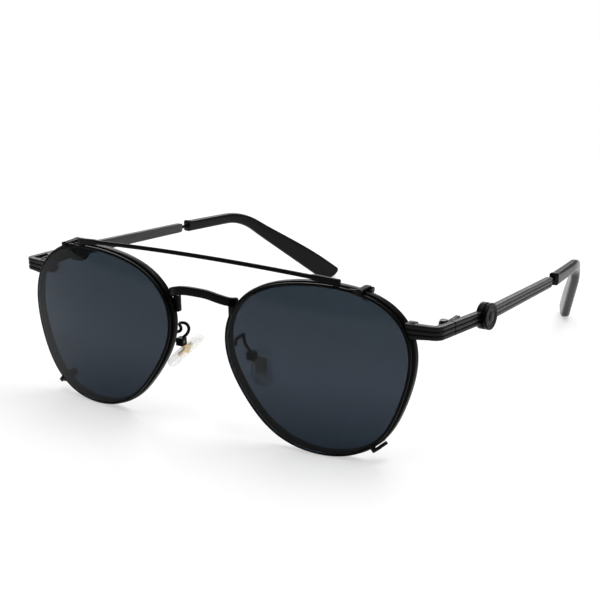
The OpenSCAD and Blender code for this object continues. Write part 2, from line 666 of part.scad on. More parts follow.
module pad_core() {
    color("#b08a3c") difference() {
        core_shape(0);
        screw_axis() cylinder(r = pad_screw_r + run, h = 2 * box_s, center = true, $fn = ROUND);
    }
}
module nose_pad() {
    end_r = pad_w / 2;
    color([0.93, 0.92, 0.9, 0.55]) difference() {
        pad_frame() rotate([0, -90, 0]) translate([0, 0, -pad_t / 2]) linear_extrude(pad_t) hull() {
            translate([pad_l / 2 - end_r * 0.8, 0]) circle(r = end_r * 0.8, $fn = 32);
            translate([end_r - pad_l / 2, 0]) circle(r = end_r, $fn = 32);
        }
        core_shape(0.02);
    }
}

// Flip hinge: ears behind the top of the optical rim over a round spring case, and the claw's
// barrel between them
// Depth and radius of the case, and how far it reaches below the top of the rim
spring_d = 1.2;
spring_r = 1.9;
spring_drop = 3.3;
claw_x = lens_x + outline_at(claw_a)[0];
rim_over = lens_z + outline_off(claw_a + 2, rim_out)[1];
sun_over = lens_z + outline_off(claw_a + 2, sun_u(claw_a + 2))[1];
claw_under = rim_over + claw_gap;
claw_y = dome_y(outline_at(claw_a));
flip_y = claw_y + base_back + flip_r + 0.3;
flip_z = claw_under + claw_t - flip_r - 0.25;
module flip_axis() {
    translate([claw_x, flip_y, flip_z]) rotate([0, 90, 0]) children();
}
module flip_lug() {
    ear_x = claw_w / 2 + run + ear_t / 2;
    foot_w = 2 * ear_x + ear_t;
    foot_y = claw_y + base_back - 0.3;
    foot_low = rim_over - rim_w + 0.15;
    foot_d = flip_y - flip_r - 0.08 - foot_y;
    case_y = claw_y + base_back + seat;
    case_low = rim_over - spring_drop;
    case_top = flip_z - flip_r - 0.1;
    color("#202224") difference() {
        union() {
            for (s = [-1, 1]) flip_axis() translate([0, 0, s * ear_x])
                cylinder(r = flip_r - 0.05, h = ear_t, center = true, $fn = ROUND);
            for (s = [-1, 1]) translate([claw_x + s * ear_x - ear_t / 2, case_y, case_top - 0.3])
                cube([ear_t, flip_y - case_y, flip_z + 0.65 - case_top]);
            translate([claw_x - foot_w / 2, foot_y, foot_low])
                cube([foot_w, foot_d, flip_z + 0.35 - foot_low]);
            intersection() {
                translate([claw_x, case_y, case_low + spring_r]) rotate([-90, 0, 0])
                    cylinder(r = spring_r, h = spring_d, $fn = ROUND);
                translate([claw_x - spring_r, foot_y, case_low])
                    cube([2 * spring_r, 2 * spring_d, case_top - case_low]);
            }
        }
        rim_cutter(50, 76);
        flip_axis() cylinder(r = flip_pin_r, h = 3 * claw_w, center = true, $fn = ROUND);
    }
}
module flip_pin() {
    pin_l = claw_w + 2 * ear_t + 2 * run;
    color("#8a8d90") flip_axis() cylinder(r = flip_pin_r, h = pin_l, center = true, $fn = ROUND);
}
module upper_claw() {
    lobe_r = claw_w / 2 + 0.15;
    lobe_t = 0.75;
    lobe_z = sun_over + 0.2;
    front_y = claw_y + sun_v - lobe_t - 0.1;
    color("#202224") difference() {
        union() {
            flip_axis() cylinder(r = flip_r, h = claw_w, center = true, $fn = ROUND);
            translate([claw_x - claw_w / 2, front_y, claw_under])
                cube([claw_w, flip_y - front_y, claw_t]);
            translate([claw_x, front_y, lobe_z]) rotate([-90, 0, 0])
                cylinder(r = lobe_r, h = lobe_t, $fn = ROUND);
            translate([claw_x - lobe_r, front_y, lobe_z])
                cube([2 * lobe_r, lobe_t, claw_under + claw_t - lobe_z]);
            translate([claw_x - 2.9, front_y + lobe_t - 0.25, sun_over - 0.5])
                cube([2.9 + claw_w / 2, sun_d - 0.3, claw_under + 0.2 - sun_over + 0.5]);
        }
        flip_axis() cylinder(r = flip_pin_r + run, h = 3 * claw_w, center = true, $fn = ROUND);
        sun_cutter(48, 84, seat, inside_rim);
    }
}

// Lower claw: a short bar under the rims with a round nose, and its stop behind the optical rim
module at_low_claw(u, v) {
    p = outline_off(low_claw_a, u);
    n = outward_at(low_claw_a);
    translate([lens_x + p[0], dome_y(outline_at(low_claw_a)) + v, lens_z + p[1]])
        rotate([0, -atan2(n[1], n[0]), 0]) children();
}
low_gap = 0.25;
module lower_claw() {
    bar_u = rim_out + low_gap;
    front_v = sun_back - 0.35;
    round_r = low_claw_w / 2;
    neck_w = 1.1;
    color("#202224") difference() {
        union() {
            at_low_claw(bar_u, front_v + round_r) translate([0, 0, -round_r])
                cube([low_claw_t, low_claw_l - round_r - 0.3, low_claw_w]);
            at_low_claw(bar_u + 0.02, front_v + round_r) rotate([0, 90, 0])
                cylinder(r = round_r - 0.03, h = low_claw_t - 0.04, $fn = ROUND);
            at_low_claw(bar_u, front_v + low_claw_l - 0.4) translate([0, 0, 0.4 - round_r])
                cube([low_claw_t, 0.4, low_claw_w - 0.8]);
            at_low_claw(-2, sun_v - 0.2) translate([0, 0, -neck_w / 2])
                cube([2 + bar_u + low_claw_t - 0.1, sun_d, neck_w]);
        }
        sun_cutter(300, 318);
        at_low_claw(sun_u(low_claw_a) - sun_w - 4.7, -4) translate([0, 0, -4]) cube([5, 8, 8]);
    }
}
module lower_catch() {
    catch_d = 2.4;
    color("#202224") difference() {
        at_low_claw(rim_out - rim_w + 0.05, base_back - 0.4) translate([0, 0, -low_claw_w / 2])
            cube([rim_w - 0.05, catch_d + 0.4, low_claw_w]);
        rim_cutter(300, 318);
    }
}

// Brow bar: a wire over the nose whose flattened ends lie on the sun rims
sun_top = lens_z + outline_off(75, sun_u(75))[1];
module brow_bar() {
    foot_l = 2;
    solder_d = 0.5;
    tab_x = bar_half - bar_tab_l;
    tab_drop = bar_z - sun_top - bar_stand - bar_tab_h / 2;
    function bar_at(x) = let (k = x / bar_half) [x, bar_back * k * k - bar_front, bar_z - tab_drop * k * k];
    xs = [-bar_half, 0.25 - bar_half, -tab_x - 0.6, -tab_x + 1, for (i = [-5:5]) i * tab_x / 6,
        tab_x - 1, tab_x + 0.6, bar_half - 0.25, bar_half];
    wire = cut_box(2 * bar_r, 2 * bar_r, 0.35);
    tab = cut_box(bar_tab_d, bar_tab_h, 0.2);
    end = cut_box(bar_tab_d - 0.3, bar_tab_h - 0.4, 0.15);
    function bar_section(x) = abs(x) > bar_half - 0.1 ? end : abs(x) > tab_x ? tab : wire;
    color("#202224") difference() {
        union() {
            skin(carry([for (x = xs) bar_at(x)], [for (x = xs) bar_section(x)]));
            for (s = [0, 1]) mirror([s, 0, 0])
                translate([bar_half - foot_l - 0.3, bar_at(bar_half)[1] - 0.4, sun_top - 0.4])
                cube([foot_l, solder_d, bar_stand + 0.7]);
        }
        for (s = [0, 1]) mirror([s, 0, 0]) sun_cutter(60, 100);
    }
}

// The origin is on the table, under the middle of the whole part
most_front = -bar_front - bar_r;
origin_y = (most_front + tip_back) / 2;

// Places a left-hand piece, or its mirror image
module placed(side = 1) {
    translate([0, -origin_y, 0]) mirror([side < 0 ? 1 : 0, 0, 0]) children();
}

placed() base_rim();  // base_rim_left
placed(-1) base_rim();  // base_rim_right
placed() clear_lens();  // clear_lens_left
placed(-1) clear_lens();  // clear_lens_right
placed() bridge();
placed() endpiece();  // endpiece_left
placed(-1) endpiece();  // endpiece_right
placed() frame_hinge();  // frame_hinge_left
placed(-1) frame_hinge();  // frame_hinge_right
placed() hinge_screw();  // hinge_screw_left
placed(-1) hinge_screw();  // hinge_screw_right
placed() rim_lock();  // rim_lock_left
placed(-1) rim_lock();  // rim_lock_right
placed() lock_screw();  // lock_screw_left
placed(-1) lock_screw();  // lock_screw_right
placed() pad_arm();  // pad_arm_left
placed(-1) pad_arm();  // pad_arm_right
placed() pad_box();  // pad_box_left
placed(-1) pad_box();  // pad_box_right
placed() pad_screw();  // pad_screw_left
placed(-1) pad_screw();  // pad_screw_right
placed() flip_lug();  // flip_lug_left
placed(-1) flip_lug();  // flip_lug_right
placed() flip_pin();  // flip_pin_left
placed(-1) flip_pin();  // flip_pin_right
placed() lower_catch();  // lower_catch_left
placed(-1) lower_catch();  // lower_catch_right
placed() sun_rim();  // sun_rim_left
placed(-1) sun_rim();  // sun_rim_right
placed() sun_lens();  // sun_lens_left
placed(-1) sun_lens();  // sun_lens_right
placed() brow_bar();
placed() upper_claw();  // upper_claw_left
placed(-1) upper_claw();  // upper_claw_right
placed() lower_claw();  // lower_claw_left
placed(-1) lower_claw();  // lower_claw_right
placed() temple_strip();  // temple_strip_left
placed(-1) temple_strip();  // temple_strip_right
placed() temple_hinge();  // temple_hinge_left
placed(-1) temple_hinge();  // temple_hinge_right
placed() temple_boss();  // temple_boss_left
placed(-1) temple_boss();  // temple_boss_right
placed() boss_disc();  // boss_disc_left
placed(-1) boss_disc();  // boss_disc_right
placed() core_wire();  // core_wire_left
placed(-1) core_wire();  // core_wire_right
placed() temple_tip();  // temple_tip_left
placed(-1) temple_tip();  // temple_tip_right
placed() nose_pad();  // nose_pad_left
placed(-1) nose_pad();  // nose_pad_right
placed() pad_core();  // pad_core_left
placed(-1) pad_core();  // pad_core_right
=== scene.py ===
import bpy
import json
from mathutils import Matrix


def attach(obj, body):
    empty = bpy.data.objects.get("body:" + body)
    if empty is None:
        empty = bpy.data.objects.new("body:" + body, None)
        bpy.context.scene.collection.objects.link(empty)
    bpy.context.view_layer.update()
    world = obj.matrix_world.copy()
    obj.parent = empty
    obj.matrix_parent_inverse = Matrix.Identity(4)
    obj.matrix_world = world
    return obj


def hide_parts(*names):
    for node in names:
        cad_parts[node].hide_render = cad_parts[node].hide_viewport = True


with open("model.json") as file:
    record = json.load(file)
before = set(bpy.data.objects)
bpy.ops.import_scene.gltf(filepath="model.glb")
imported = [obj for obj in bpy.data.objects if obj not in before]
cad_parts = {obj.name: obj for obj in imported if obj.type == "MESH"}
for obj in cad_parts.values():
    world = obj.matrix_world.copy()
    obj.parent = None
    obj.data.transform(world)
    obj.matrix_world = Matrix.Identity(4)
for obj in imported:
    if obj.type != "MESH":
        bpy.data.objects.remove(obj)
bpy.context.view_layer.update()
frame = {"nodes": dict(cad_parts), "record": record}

import bpy, bmesh, json
from math import sin, cos, tan, radians, degrees, pi, sqrt
from mathutils import Matrix, Vector

mm = 0.001
joints = {joint["name"]: joint for joint in frame["record"]["behaviour"]["joints"]}
foldAt = joints["temple_fold_left"]["pos_m"]
foldY = 14.2  # the fold axis, behind the lens plane
shiftY = foldY - foldAt[1] / mm  # from the lens plane back to the middle of the part, in mm


def place(p, side=1):  # millimetres behind the lens plane, to metres in the part's frame
    return Vector((side * p[0], p[1] - shiftY, p[2])) * mm


def clearAll():
    if bpy.context.object and bpy.context.object.mode != "OBJECT":
        bpy.ops.object.mode_set(mode="OBJECT")
    bpy.ops.object.select_all(action="DESELECT")


def startLoop(name, count, filled):  # a circle whose points each know their number
    clearAll()
    bpy.ops.mesh.primitive_circle_add(vertices=count, radius=mm, fill_type="NGON" if filled else "NOTHING")
    piece = bpy.context.object
    piece.name = piece.data.name = name
    bpy.ops.object.mode_set(mode="EDIT")
    bm = bmesh.from_edit_mesh(piece.data)
    tag = bm.verts.layers.int.new("number")
    bm.verts.ensure_lookup_table()
    for i, v in enumerate(bm.verts):
        v[tag] = i
    bpy.ops.mesh.select_all(action="SELECT")
    return piece


def putLoop(piece, points):  # moves the selected loop onto its points
    bm = bmesh.from_edit_mesh(piece.data)
    tag = bm.verts.layers.int["number"]
    for v in bm.verts:
        if v.select:
            v.co = points[v[tag]]
    bmesh.update_edit_mesh(piece.data)


def finishShape(piece, angle=35):
    bpy.ops.mesh.select_all(action="SELECT")
    bpy.ops.mesh.remove_doubles(threshold=1e-6)
    bpy.ops.mesh.normals_make_consistent(inside=False)
    bpy.ops.object.mode_set(mode="OBJECT")
    bpy.ops.object.shade_smooth_by_angle(angle=radians(angle))
    bpy.ops.object.transform_apply(location=True, rotation=True, scale=True)
    tag = piece.data.attributes.get("number")
    if tag:
        piece.data.attributes.remove(tag)
    return piece


def loft(name, rings, angle=35):  # a section pulled from ring to ring, closed at both ends
    piece = startLoop(name, len(rings[0]), True)
    putLoop(piece, rings[0])
    for ring in rings[1:]:
        bpy.ops.mesh.extrude_region_move()
        putLoop(piece, ring)
    return finishShape(piece, angle)


def hoop(name, loops, angle=35):  # long loops pulled round a section, back to the first
    piece = startLoop(name, len(loops[0]), False)
    putLoop(piece, loops[0])
    for loop in loops[1:] + loops[:1]:
        bpy.ops.mesh.extrude_region_move()
        putLoop(piece, loop)
    return finishShape(piece, angle)


easing = {"segments": 2, "flatAngle": 4, "edgeAngle": 30, "smoothAngle": 40}


def softened(node, name, width):  # the solid's own shape with its edges eased
    clearAll()
    source = frame["nodes"][node]
    piece = bpy.data.objects.new(name, source.data.copy())
    piece.data.name = name
    piece.data.materials.clear()
    bpy.context.collection.objects.link(piece)
    bpy.context.view_layer.objects.active = piece
    piece.select_set(True)
    bpy.ops.object.mode_set(mode="EDIT")
    bpy.ops.mesh.select_all(action="SELECT")
    bpy.ops.mesh.remove_doubles(threshold=1e-6)
    bpy.ops.mesh.dissolve_limited(angle_limit=radians(easing["flatAngle"]))
    bpy.ops.object.mode_set(mode="OBJECT")
    bevel = piece.modifiers.new("ease", "BEVEL")
    bevel.width, bevel.segments = width * mm, easing["segments"]
    bevel.limit_method, bevel.angle_limit = "ANGLE", radians(easing["edgeAngle"])
    bevel.use_clamp_overlap = True
    bpy.ops.object.modifier_apply(modifier="ease")
    bpy.ops.object.shade_smooth_by_angle(angle=radians(easing["smoothAngle"]))
    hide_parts(node)
    return piece


def eased(x):  # from 0 to 1, slow at both ends
    k = min(1, max(0, x))
    return k * k * (3 - 2 * k)


def roundedBox(w, h, r, steps=3):  # section of a bar with round edges, counter-clockwise
    points = []
    for cx, cy, start in ((w / 2 - r, r - h / 2, -90), (w / 2 - r, h / 2 - r, 0),
                          (r - w / 2, h / 2 - r, 90), (r - w / 2, r - h / 2, 180)):
        for i in range(steps + 1):
            b = radians(start + 90 * i / steps)
            points.append((cx + r * cos(b), cy + r * sin(b)))
    return points


def sweep(path, sections, up=(0, 0, 1), side=1):  # rings of a section carried along a path
    path = [Vector(p) for p in path]
    up = Vector(up)
    rings = []
    for i, p in enumerate(path):
        t = (path[min(i + 1, len(path) - 1)] - path[max(i - 1, 0)]).normalized()
        s = up.cross(t).normalized()
        u = t.cross(s)
        rings.append([place(p + a * s + b * u, side) for a, b in sections[i]])
    return rings


def smoothPath(points, parts=6):  # a curve through the points
    points = [Vector(p) for p in points]
    out = []
    for i in range(len(points) - 1):
        p0, p1, p2 = points[max(i - 1, 0)], points[i], points[i + 1]
        p3 = points[min(i + 2, len(points) - 1)]
        for k in range(parts):
            t = k / parts
            out.append(0.5 * ((2 * p1) + (p2 - p0) * t + (2 * p0 - 5 * p1 + 4 * p2 - p3) * t * t
                              + (3 * p1 - p0 - 3 * p2 + p3) * t ** 3))
    return out + [points[-1]]


def wireSection(r, count=16):
    return [(r * cos(2 * pi * i / count), r * sin(2 * pi * i / count)) for i in range(count)]


class Wire:
    def __init__(self, graph, socket):
        self.graph, self.socket = graph, socket

    def maths(self, operation, a, b):
        return self.graph.add("ShaderNodeMath", {"operation": operation}, {0: a, 1: b})

    def __add__(self, other): return self.maths("ADD", self, other)
    def __radd__(self, other): return self.maths("ADD", other, self)
    def __mul__(self, other): return self.maths("MULTIPLY", self, other)
    def __rmul__(self, other): return self.maths("MULTIPLY", other, self)


class Finish:
    def __init__(self, name):
        self.material = bpy.data.materials.new(name)
        self.material.use_nodes = True
        self.nodes, self.links = self.material.node_tree.nodes, self.material.node_tree.links
        self.shader = self.nodes["Principled BSDF"]
        self.spot = self.add("ShaderNodeTexCoord", output="Object")

    def add(self, kind, settings=None, values=None, output=0):
        node = self.nodes.new(kind)
        for key, value in (settings or {}).items():
            if key == "ramp":
                ramp = node.color_ramp.elements
                while len(ramp) < len(value):
                    ramp.new(0.5)
                for stop, (at, colour) in zip(ramp, value):
                    stop.position, stop.color = at, (*colour, 1)
            else:
                setattr(node, key, value)
        for key, value in (values or {}).items():
            if isinstance(value, Wire):
                self.links.new(value.socket, node.inputs[key])
            else:
                node.inputs[key].default_value = value
        return Wire(self, node.outputs[output])

    def noise(self, scale, detail=3, stretch=(1, 1, 1)):
        spot = self.add("ShaderNodeMapping", {}, {"Vector": self.spot, "Scale": stretch})
        return self.add("ShaderNodeTexNoise", {}, {"Vector": spot, "Scale": scale, "Detail": detail})

    def between(self, mask, a, b):  # two colours mixed by a mask
        return self.add("ShaderNodeMix", {"data_type": "RGBA"}, {0: mask, 6: (*a, 1), 7: (*b, 1)}, 2)

    def bump(self, height, depth):
        return self.add("ShaderNodeBump", {}, {"Height": height, "Strength": 1.0, "Distance": depth})

    def set(self, **values):
        for key, value in values.items():
            socket = self.shader.inputs[key.replace("_", " ")]
            if isinstance(value, Wire):
                self.links.new(value.socket, socket)
            else:
                socket.default_value = value
        return self.material


def blackPlating(name, dark, pale, rough, gloss=0.3):  # lacquered black plating: fine grain, faint haze
    f = Finish(name)
    haze = f.noise(350, 3)
    grain = f.noise(9000, 2)
    return f.set(Base_Color=f.between(haze, dark, pale), Roughness=rough + haze * 0.12,
                 Specular_IOR_Level=gloss, Normal=f.bump(grain, 0.000012))


sheenAt = {"from": -0.043, "to": -0.030}  # metres from the part's middle, just behind the boss, where the painted sheen fades in


def brushedStrip(name):  # black at the corner; a painted sheen makes it paler behind the boss, standing in for the light it catches there; brushed grain throughout
    f = Finish(name)
    back = f.add("ShaderNodeSeparateXYZ", {}, {0: f.spot}, 1)
    # painted sheen mask: the strip turns paler from just behind the boss to the back
    paintedSheen = f.add("ShaderNodeMapRange", {"interpolation_type": "SMOOTHSTEP"},
                 {0: back, 1: sheenAt["from"], 2: sheenAt["to"], 3: 0.0, 4: 1.0})
    brush = f.noise(2600, 3, (1, 0.06, 1))
    dark = f.between(brush, (0.0015, 0.0016, 0.0017), (0.004, 0.0041, 0.0044))
    # the pale tone is the painted sheen, with the brushed grain in it
    pale = f.between(brush, (0.03, 0.0303, 0.031), (0.06, 0.0603, 0.0615))
    tone = f.add("ShaderNodeMix", {"data_type": "RGBA"}, {0: paintedSheen, 6: dark, 7: pale}, 2)
    return f.set(Base_Color=tone, Roughness=0.22 + brush * 0.14, Specular_IOR_Level=0.12,
                 Normal=f.bump(brush, 0.00002))


def darkLens(name):  # grey blue tint; darker towards the bottom as painted shade for the floor's shadow seen through the lens, and a little darker again at the top
    f = Finish(name)
    height = f.add("ShaderNodeSeparateXYZ", {}, {0: f.spot}, 2)
    drift = f.noise(120, 1)
    level = height * 22 + drift * 0.03  # about 0 at the table and 1 at the top of the rim
    # the lowest stop is painted shade: the floor's shadow behind the lens, painted into the tint
    stops = [(0.1, (0.010, 0.018, 0.028)), (0.5, (0.033, 0.043, 0.058)), (0.95, (0.025, 0.035, 0.046))]
    tintAndShade = f.add("ShaderNodeValToRGB", {"ramp": stops}, {0: level})
    return f.set(Base_Color=tintAndShade, Transmission_Weight=1.0, IOR=1.2, Roughness=0.012 + drift * 0.01)


def clearLens(name):
    f = Finish(name)
    drift = f.noise(90, 1)
    return f.set(Base_Color=f.between(drift, (0.75, 0.8, 0.82), (0.8, 0.85, 0.87)),
                 Alpha=0.03 + drift * 0.02, Roughness=0.03 + drift * 0.02, IOR=1.5, Specular_IOR_Level=0.3)


def polishedPlastic(name):  # tumbled black acetate: soft swirls under a polish
    f = Finish(name)
    swirl = f.noise(260, 4, (1, 0.3, 1))
    fine = f.noise(6000, 2)
    return f.set(Base_Color=f.between(swirl, (0.002, 0.0021, 0.0023), (0.005, 0.0052, 0.0058)),
                 Roughness=0.16 + swirl * 0.1, Specular_IOR_Level=0.12, IOR=1.5,
                 Normal=f.bump(fine, 0.000008))


def softClear(name):  # silicone pad: milky, with a faint waviness
    f = Finish(name)
    cloud = f.noise(500, 3)
    return f.set(Base_Color=f.between(cloud, (0.86, 0.86, 0.85), (0.94, 0.94, 0.93)),
                 Alpha=0.3 + cloud * 0.1, Roughness=0.22 + cloud * 0.1, IOR=1.41,
                 Normal=f.bump(f.noise(1500, 2), 0.00002))


def goldPlate(name):
    f = Finish(name)
    haze = f.noise(900, 3)
    return f.set(Base_Color=f.between(haze, (0.6, 0.4, 0.13), (0.75, 0.55, 0.22)), Metallic=1.0,
                 Roughness=0.22 + haze * 0.12, Normal=f.bump(f.noise(7000, 2), 0.00001))


def screwSteel(name):  # blackened steel, turned rings worn brighter
    f = Finish(name)
    wear = f.noise(2500, 4)
    return f.set(Base_Color=f.between(wear, (0.03, 0.03, 0.032), (0.16, 0.16, 0.165)), Metallic=0.9,
                 Roughness=0.26 + wear * 0.16, Normal=f.bump(f.noise(12000, 2), 0.00001))


blacks = (0.001, 0.00105, 0.00115), (0.003, 0.0031, 0.0034)
finishes = {
    "wire": blackPlating("black plating, wire", *blacks, 0.2, 0.05),
    "strip": brushedStrip("black plating, ribbed strip"),
    "small": blackPlating("black plating, small parts", *blacks, 0.22, 0.07),
    "darkLens": darkLens("dark lens tint"),
    "clearLens": clearLens("clear lens"),
    "plastic": polishedPlastic("black acetate"),
    "pad": softClear("clear silicone"),
    "gold": goldPlate("gold plate"),
    "screw": screwSteel("black screw steel"),
}


def dress(piece, finish, body):
    piece.data.materials.clear()
    piece.data.materials.append(finishes[finish])
    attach(piece, body)
    return piece


sides = {"left": 1, "right": -1}
print("materials ready")


outline = {
    "radius": 25.0, "oval": 1.7, "lean": 0.45, "flare": 0.54, "drop": 1.3, "square": 0.2, "twist": 0.07,
    "fifth": 0.11, "fifthTwist": 0.31, "noseGap": 17.7, "domeR": 119, "wrap": 6, "tilt": 2.5,
    "front": -1.4, "cutAngle": 25.4, "lockIn": 1.2,
}
opticalRim = {"out": 0.15, "width": 1.45, "front": 0.3, "depth": 2.0, "round": 0.3, "cut": 0.25,
              "stations": 180}
sunRim = {"inset": 0.1, "insetTemple": 0.25, "insetNose": 0.2, "width": 0.7, "front": -1.0, "depth": 0.9,
          "round": 0.22, "stations": 180}
lensShape = {"rings": (0.02, 0.15, 0.3, 0.45, 0.6, 0.72, 0.84, 0.93), "around": 144,
             "bevelHigh": 0.2, "bevelOut": 0.17, "seat": 0.03}
lenses = {
    "darkLens": {"node": "sun_lens", "thick": 0.8, "mid": -0.55, "slot": "dark_lens", "body": "sun_front"},
    "clearLens": {"node": "clear_lens", "thick": 1.1, "mid": 1.3, "slot": "clear_lens", "body": "frame"},
}


def outlineR(a):
    o, k = outline, radians(a)
    return (o["radius"] + o["oval"] * cos(2 * k) - o["lean"] * sin(2 * k) - o["flare"] * cos(3 * k)
            + o["drop"] * sin(3 * k) - o["square"] * cos(4 * k) - o["twist"] * sin(4 * k)
            - o["fifth"] * cos(5 * k) + o["fifthTwist"] * sin(5 * k))


def outlineAt(a):
    return Vector((cos(radians(a)), sin(radians(a)))) * outlineR(a)


def outwardAt(a):
    d = outlineAt(a + 1) - outlineAt(a - 1)
    return Vector((d.y, -d.x)).normalized()


def outlineOff(a, u):
    return outlineAt(a) + outwardAt(a) * u


lensX = outline["noseGap"] / 2 - min(outlineAt(a).x for a in range(360))
lensZ = -min(outlineOff(a, opticalRim["out"]).y for a in range(360))
lensTop = lensZ + max(outlineAt(a).y for a in range(360))
noseX = outline["noseGap"] / 2
lockX = lensX + outlineAt(outline["cutAngle"]).x - outline["lockIn"]
lockZ = lensZ + outlineAt(outline["cutAngle"]).y


def domeY(p):  # the dome that the lenses and rims lie on
    return (outline["front"] + tan(radians(outline["wrap"])) * p[0] + tan(radians(outline["tilt"])) * p[1]
            + (p[0] ** 2 + p[1] ** 2) / (2 * outline["domeR"]))


def onDome(p, v):
    return Vector((lensX + p[0], domeY(p) + v, lensZ + p[1]))


def sunInset(a):
    c = cos(radians(a))
    return -sunRim["inset"] - sunRim["insetTemple"] * max(0, c) ** 2 - sunRim["insetNose"] * max(0, -c) ** 2


def rimSection(width, depth, r):  # outward and backward from the rim's outer front corner
    return [(a - width / 2, b + depth / 2) for a, b in roundedBox(width, depth, r, 3)]


def lensEdge(name, a):  # how far out the lens reaches, at the inner edge of its rim
    return sunInset(a) - sunRim["width"] if name == "darkLens" else opticalRim["out"] - opticalRim["width"]


def lensLoops(thick):  # share of the way out, height and step outwards, from the back over the edge
    s, shares = lensShape, list(lensShape["rings"])
    edge = [(1, thick / 2, -s["seat"]), (1, s["bevelHigh"], -s["seat"]), (1, 0, s["bevelOut"]),
            (1, -s["bevelHigh"], -s["seat"]), (1, -thick / 2, -s["seat"])]
    return ([(k, thick / 2, -s["seat"]) for k in shares] + edge
            + [(k, -thick / 2, -s["seat"]) for k in reversed(shares)])


for sideName, side in sides.items():
    r = sunRim
    section = rimSection(r["width"], r["depth"], r["round"])
    angles = [360 * i / r["stations"] for i in range(r["stations"])]
    loops = [[place(onDome(outlineOff(a, sunInset(a) + u), r["front"] + v), side) for a in angles]
             for u, v in section]
    piece = hoop(f"sunRim_{sideName}", loops, 60)
    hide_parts(f"sun_rim_{sideName}")
    dress(piece, "wire", "sun_front")

    r = opticalRim
    section = rimSection(r["width"], r["depth"], r["round"])
    halfCut = degrees(r["cut"] / 2 / outlineR(outline["cutAngle"]))
    spanA = 360 - 2 * halfCut
    rings = []
    for i in range(r["stations"] + 1):
        a = outline["cutAngle"] + halfCut + spanA * i / r["stations"]
        rings.append([place(onDome(outlineOff(a, r["out"] + u), r["front"] + v), side)
                      for u, v in section])
    piece = loft(f"opticalRim_{sideName}", rings, 60)
    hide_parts(f"base_rim_{sideName}")
    dress(piece, "wire", "frame")

    angles = [360 * i / lensShape["around"] for i in range(lensShape["around"])]
    for name, lens in lenses.items():
        rings = [[place(onDome(outlineOff(a, lensEdge(name, a) + u) * k, lens["mid"] + v), side)
                  for a in angles] for k, v, u in lensLoops(lens["thick"])]
        piece = loft(f"{name}_{sideName}", rings, 30)
        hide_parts(f"{lens['node']}_{sideName}")
        dress(piece, name, lens["body"])
print("rims and lenses made")


bar = {"half": lensX + 6.7, "radius": 0.6, "top": lensTop + 3.2, "front": 2.1, "back": 3.8,
       "tabHigh": 1.6, "tabDeep": 1.0, "tabLong": 8.5, "flatOver": 1.6, "endRound": 0.25, "endShrink": 0.35,
       "stand": 0.4, "topAngle": 75, "footLong": 2.0, "footDeep": 0.5, "footIn": 0.3, "footFront": 0.15}
sunTop = lensZ + outlineOff(bar["topAngle"], sunInset(bar["topAngle"])).y
tabDrop = bar["top"] - sunTop - bar["stand"] - bar["tabHigh"] / 2


def barAt(x):
    k = x / bar["half"]
    return Vector((x, bar["back"] * k * k - bar["front"], bar["top"] - tabDrop * k * k))


def barSection(x):  # round over the nose, pressed flat towards the ends
    start = bar["half"] - bar["tabLong"]
    k = eased((abs(x) - start) / bar["flatOver"])
    end = bar["endShrink"] * max(0, abs(x) - bar["half"] + bar["endRound"]) / bar["endRound"]
    w = 2 * bar["radius"] * (1 - k) + bar["tabDeep"] * k - end
    h = 2 * bar["radius"] * (1 - k) + bar["tabHigh"] * k - end
    return roundedBox(w, h, min(w, h) / 2 * (1 - k) + 0.2 * k, 4)


ends = {s * (bar["half"] - d) for s in (-1, 1) for d in (0, 0.1, bar["endRound"])}
xs = sorted(ends | set(range(-42, 43)))
piece = loft("browBar", sweep([barAt(x) for x in xs], [barSection(x) for x in xs]), 50)
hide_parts("brow_bar")
dress(piece, "wire", "sun_front")
for sideName, side in sides.items():  # the bead of solder between bar and rim
    x, y = bar["half"] - bar["footIn"] - bar["footLong"] / 2, barAt(bar["half"]).y - bar["footFront"]
    levels = ((-0.3, 1.0), (-0.05, 1.0), (0.1, 0.94), (0.3, 0.94), (bar["stand"] + 0.2, 1.0))
    section = roundedBox(bar["footLong"], bar["footDeep"], 0.2, 3)
    rings = [[place((x + a * f, y + b * f, sunTop + z), side) for a, b in section] for z, f in levels]
    dress(loft(f"barSolder_{sideName}", rings), "wire", "sun_front")
print("brow bar made")


bridge = {"high": 2.4, "thick": 1.5, "round": 0.45, "mid": lensZ + 15.1, "drop": 2.2, "dropAt": 10.1,
          "flat": 5.5, "turnR": 4.8, "end": 84, "front": -1.8, "footLow": lensZ + 7.35,
          "footIn": noseX - 0.55, "footOut": noseX + 1.25, "footY": 1.25, "footDeep": 1.6,
          "footRound": 0.3, "footOver": 0.3}


def bridgeLift(x):
    return bridge["mid"] - bridge["drop"] * (abs(x) / bridge["dropAt"]) ** 3


turn = []
for i in range(1, 15):
    b = radians(bridge["end"] * i / 14)
    x = bridge["flat"] + bridge["turnR"] * sin(b)
    turn.append((x, bridge["front"] + bridge["turnR"] * (1 - cos(b)), bridgeLift(x)))
xs = [-bridge["flat"] + bridge["flat"] * i / 8 for i in range(17)]
middle = [(x, bridge["front"], bridgeLift(x)) for x in xs]
path = [(-x, y, z) for x, y, z in reversed(turn)] + middle + turn
section = roundedBox(bridge["thick"], bridge["high"], bridge["round"], 4)
piece = loft("bridgeStrip", sweep(path, [section] * len(path)), 50)
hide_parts("bridge")
dress(piece, "wire", "frame")
for sideName, side in sides.items():
    b = bridge
    low, top = b["footLow"] + 0.25, bridgeLift(b["dropAt"]) - b["high"] / 2 + b["footOver"]
    x, y = (b["footIn"] + b["footOut"]) / 2, b["footY"] + b["footDeep"] / 2
    levels = [(b["footLow"], 0.8), (b["footLow"] + 0.08, 0.92), (low, 1)]
    levels += [(low + (top - low) * i / 6, 1) for i in range(1, 7)]
    section = roundedBox(b["footOut"] - b["footIn"], b["footDeep"], b["footRound"], 3)
    rings = [[place((x + p * f, y + q * f, z), side) for p, q in section] for z, f in levels]
    piece = loft(f"bridgeFoot_{sideName}", rings)
    dress(piece, "wire", "frame")
print("bridge made")


